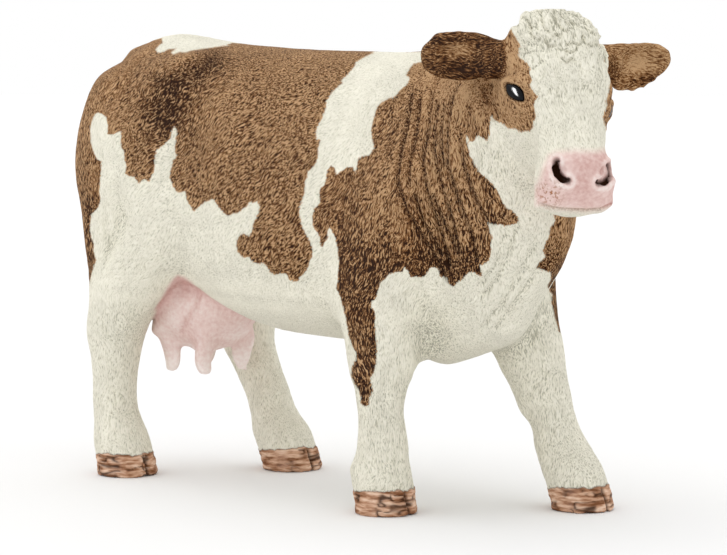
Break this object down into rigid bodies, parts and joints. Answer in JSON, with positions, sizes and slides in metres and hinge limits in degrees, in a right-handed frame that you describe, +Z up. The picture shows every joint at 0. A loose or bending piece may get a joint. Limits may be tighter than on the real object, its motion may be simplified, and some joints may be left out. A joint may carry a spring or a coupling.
{
  "type": "toy farm animal figure",
  "caption": "Solid moulded toy cow for pretend play, in a walking stance with its head turned to one side, standing ears, cloven hooves, an udder and a hanging tail.",
  "frame": {"origin": "on the ground under the middle of the figure's bounding box", "axes": "+X along the body towards the head, +Y to the animal's left, +Z up"},
  "size_m": [0.1232, 0.0412, 0.0821],
  "materials": {
    "brown_coat": "soft vinyl painted matt brown with white patches, a darker wash in the moulded hair",
    "white_coat": "soft vinyl painted matt cream white, a faint grey wash in the moulded hair",
    "pink_skin": "soft vinyl painted satin pink"
  },
  "bodies": {
    "root": {"trunk_left": "brown_coat", "trunk_right": "brown_coat", "head": "white_coat", "ear_left": "brown_coat", "ear_right": "brown_coat", "fore_leg_right": "white_coat", "fore_leg_left": "white_coat", "hind_leg_right": "white_coat", "hind_leg_left": "white_coat", "udder": "pink_skin", "tail": "brown_coat"}
  },
  "joints": []
}
